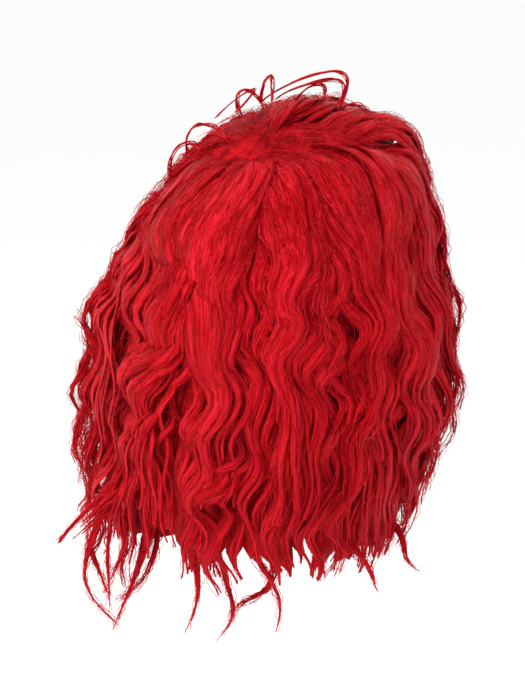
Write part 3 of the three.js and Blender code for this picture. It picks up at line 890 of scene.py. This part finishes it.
def wisp_clumps(per_wisp, steps, rng):
    """Single wisps as the view shows them, as clumps of hair: the strands at the left edge, the flick at
    the lower left, the strings under the hem and the small loops at the right edge.

    Each runs between two places, bows to its side by a sine of its length and bends by a sine of twice
    that. Its clumps start a spread apart inside the hair and close in on its tip."""
    own = {name: np.repeat(v, per_wisp)[:, None] for name, v in WISPS.items()}
    count = len(own["across"])

    def draw(low, high):
        return rng.uniform(low, high, (count, 1))

    t = np.linspace(0, 1, steps)[None, :] + np.zeros((count, 1))
    s = mix(draw(-0.14, 0.08), draw(0.84, 1.03), t)
    right, down = own["to_across"] - own["across"], own["to_rise"] - own["rise"]
    reach = np.hypot(right, down)
    aside = own["bow"] * np.sin(np.pi * s) + own["bend"] * np.sin(2 * np.pi * s)
    aside = aside + own["spread"] * draw(-1, 1) * mix(1, 0.15, ease(s))
    aside = aside + 0.5 * np.sin(9 * s + draw(0, 6))
    near = own["near"] - 16 * np.maximum(1 - s, 0) ** 2 + draw(-2, 2)
    line = seen_at(own["across"] + right * s - aside * down / reach,
                   own["rise"] + down * s + aside * right / reach, near)
    ahead = unit(np.gradient(line, axis=1))
    out = unit(VIEW_NEAR - ahead * (ahead @ VIEW_NEAR)[..., None])
    return dict(line=line, out=out, side=np.cross(ahead, out), arc=90 + reach * s, t=t,
                height=rng.permutation(count) / count, size=own["width"])


def loop_hairs(per_loop, steps, rng):
    """Loose loops over the crown: arches between two places seen from the view, in mm right of the
    head's middle and above the crown. An arch's height follows a sine whose peak moves towards its
    end, and leans."""
    own = {name: np.repeat(v, per_loop)[:, None] for name, v in LOOPS.items()}
    count = len(own["across"])
    t = np.linspace(0, 1, steps)[None, :]

    def draw(low, high):
        return rng.uniform(low, high, (count, 1))

    bow = np.sin(np.pi * t ** own["peak"]) * own["height"] * draw(0.93, 1.03)
    turned = (1 - np.cos(np.pi * t)) / 2
    lean = np.radians(own["lean"])
    loose = 0.9 * np.sin(2 * np.pi * (t * draw(1, 2.5) + draw(0, 1))) + draw(-0.5, 0.5)
    across = mix(own["across"], own["to_across"], turned) + bow * np.sin(lean) + loose
    rise = mix(own["rise"], own["to_rise"], turned) + bow * np.cos(lean) + loose * 0.7
    near = own["near"] + draw(-1.5, 1.5) + 4 * np.sin(2 * np.pi * t * draw(0.5, 1.2))
    line = seen_at(across, rise, near)
    out = np.broadcast_to(VIEW_NEAR, line.shape)
    thick = 0.4 * draw(0.8, 1.4) * np.ones_like(t)
    return tubes(line, out, thick, thick, HAIR_SIDES, 0)


def seen(made, least, first=0, last=None):
    """The clumps of a run of locks that lie high enough to be seen."""
    kept = np.flatnonzero(made["height"] > least)
    kept = kept[(kept >= first) & (kept < (last or len(made["height"])))]
    return {name: v[kept] for name, v in made.items()}


PER_LOCK = 12
LEFT_LOCKS = 8
rng = np.random.default_rng(7)
crown = clumps(crown_family(), PER_LOCK, 54, rng, early=0.0, late=2.0, roots=6.0, drift=3.0, depth=0.1)
piece("crown_locks", [crown_wall(), bodies(seen(crown, 0.12), rng)], [SHADED_UNDER_HAIR, LOCKS], node="hair_crown")
piece("crown_hairs_left", [hairs(seen(crown, 0.36, 0, PER_LOCK * LEFT_LOCKS), 5, rng)], [HAIRS])
piece("crown_hairs_right", [hairs(seen(crown, 0.36, PER_LOCK * LEFT_LOCKS), 5, rng)], [HAIRS])
fringe = clumps(fringe_family(), 8, 24, rng)
piece("fringe_locks", [fringe_wall(), bodies(fringe, rng, width=4.5, depth=1.6)], [SHADED_UNDER_HAIR, LOCKS],
      node="hair_fringe")
piece("fringe_hairs", [hairs(fringe, 6, rng, width=5.5)], [HAIRS])
for side, low, high, seed in PANELS:
    rng = np.random.default_rng(seed)
    hanging = clumps(hanging_family(low, high), 7, 40, rng, tight=0.14, short=0.84, joined=0.88)
    between = clumps(middle_family(low, high, seed), 5, 44, rng, tight=0.35, short=0.8)
    under = clumps(under_family(low, high, seed), 3, 22, rng, tight=0.7, short=0.95)
    piece(side + "_locks", [curtain_wall(low, high),
                            bodies(under, rng, width=7.0, depth=2.0, tip=0.12, full=0.86),
                            bodies(between, rng),
                            bodies(hanging, rng, width=6.0, tip=0.16)],
          [SHADED_UNDER_HAIR, LOCKS], node="hair_" + side)
    piece(side + "_hairs", [hairs(under, 3, rng, width=8.0, depth=2.6, full=0.7, frizz=1.8),
                            hairs(seen(between, 0.25), 5, rng),
                            hairs(hanging, 4, rng, width=5.0, depth=2.2)], [HAIRS])
rng = np.random.default_rng(90)
features = clumps(feature_family(), 5, 27, rng, short=0.9, early=0.97, late=1.03, flow=0.0,
                  joined=0.85)
wisps = wisp_clumps(4, 22, rng)
piece("single_locks", [bodies(features, rng, width=6.0, tip=0.12, look=0),
                       bodies(wisps, rng, width=1.0, depth=0.8, tip=0.2, full=0.3, look=0)], [LOCKS])
piece("loose_hairs", [stray_hairs(560, 15, rng, (0.02, 1.55), radius=0.14),
                      stray_hairs(240, 14, rng, (0.3, 1.5), heading=60.0, length=(20, 50), radius=0.19),
                      stray_hairs(260, 11, rng, (-0.15, 0.3), heading=70.0, length=(20, 50), radius=0.13),
                      stray_hairs(110, 30, rng, (0.02, 1.35), layer=(0.98, 1.04), length=(60, 120),
                                  heading=12.0, curl=30.0, curl_length=40.0, rise=0.07),
                      hairs(features, 4, rng, width=5.5, depth=2.2),
                      hairs(wisps, 3, rng, width=1.5, depth=1.5, tip=0.3, full=0.3),
                      loop_hairs(7, 28, rng)], [HAIRS])


WIG_MIDDLE, FLOOR_HEIGHT, FLOOR_REACH = Vector((0, 0, -0.15)), -0.62, 80


def soft_light(name, place, size, power):
    """A soft square light that looks at the middle of the wig."""
    data = bpy.data.lights.new(name, "AREA")
    data.size = size
    data.energy = power
    light = bpy.data.objects.new(name, data)
    light.location = place
    light.rotation_euler = (WIG_MIDDLE - Vector(place)).to_track_quat("-Z", "Y").to_euler()
    bpy.context.scene.collection.objects.link(light)


def floor():
    """A pale flat floor far under the hanging wig."""
    mesh = bpy.data.meshes.new("floor")
    points = [(x, y, FLOOR_HEIGHT) for x in (-FLOOR_REACH, FLOOR_REACH) for y in (-FLOOR_REACH, FLOOR_REACH)]
    mesh.from_pydata(points, [], [(0, 2, 3, 1)])
    look = Look("pale_floor")
    look.set(Base_Color=(0.97, 0.97, 0.97, 1), Roughness=0.9)
    mesh.materials.append(look.material)
    made = bpy.data.objects.new("floor", mesh)
    bpy.context.scene.collection.objects.link(made)
    made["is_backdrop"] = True


def world():
    """An even near-white surround."""
    made = bpy.data.worlds.new("surround")
    made.use_nodes = True
    made.node_tree.nodes["Background"].inputs[0].default_value = (1, 1, 1, 1)
    made.node_tree.nodes["Background"].inputs[1].default_value = 1.0
    bpy.context.scene.world = made


def camera():
    """The photograph's view: behind the wearer's right shoulder, a little above. It looks at a place
    beside the head and 250 pixels under a height of 24 mm over the crown."""
    ahead = -VIEW_NEAR * np.cos(VIEW_RISE) - np.array([0, 0, np.sin(VIEW_RISE)])
    up = np.cross(VIEW_RIGHT, ahead)
    target = VIEW_RIGHT * (PHOTO_WIDTH / 2 - HEAD_COLUMN) * PIXEL + up * (0.024 - 250 * PIXEL)
    data = bpy.data.cameras.new("view")
    data.lens = LENS_FRAME * VIEW_REACH / (PHOTO_HEIGHT * PIXEL)
    made = bpy.data.objects.new("view", data)
    axes = np.stack([VIEW_RIGHT, up, -ahead], 1)
    place = target - ahead * VIEW_REACH
    made.matrix_world = Matrix([[*row, x] for row, x in zip(axes.tolist(), place.tolist())]
                               + [[0, 0, 0, 1]])
    bpy.context.scene.collection.objects.link(made)
    bpy.context.scene.camera = made


floor()
world()
camera()
bpy.context.scene.view_settings.view_transform = "Standard"
soft_light("key", (0.25, 0.95, 1.6), 0.7, 18)
soft_light("fill", (0.3, 1.3, -0.8), 1.3, 17)
soft_light("left", (1.1, 1.0, -0.1), 1.4, 3)
soft_light("front", (0.3, -1.4, 0.7), 1.4, 4)

low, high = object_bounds()
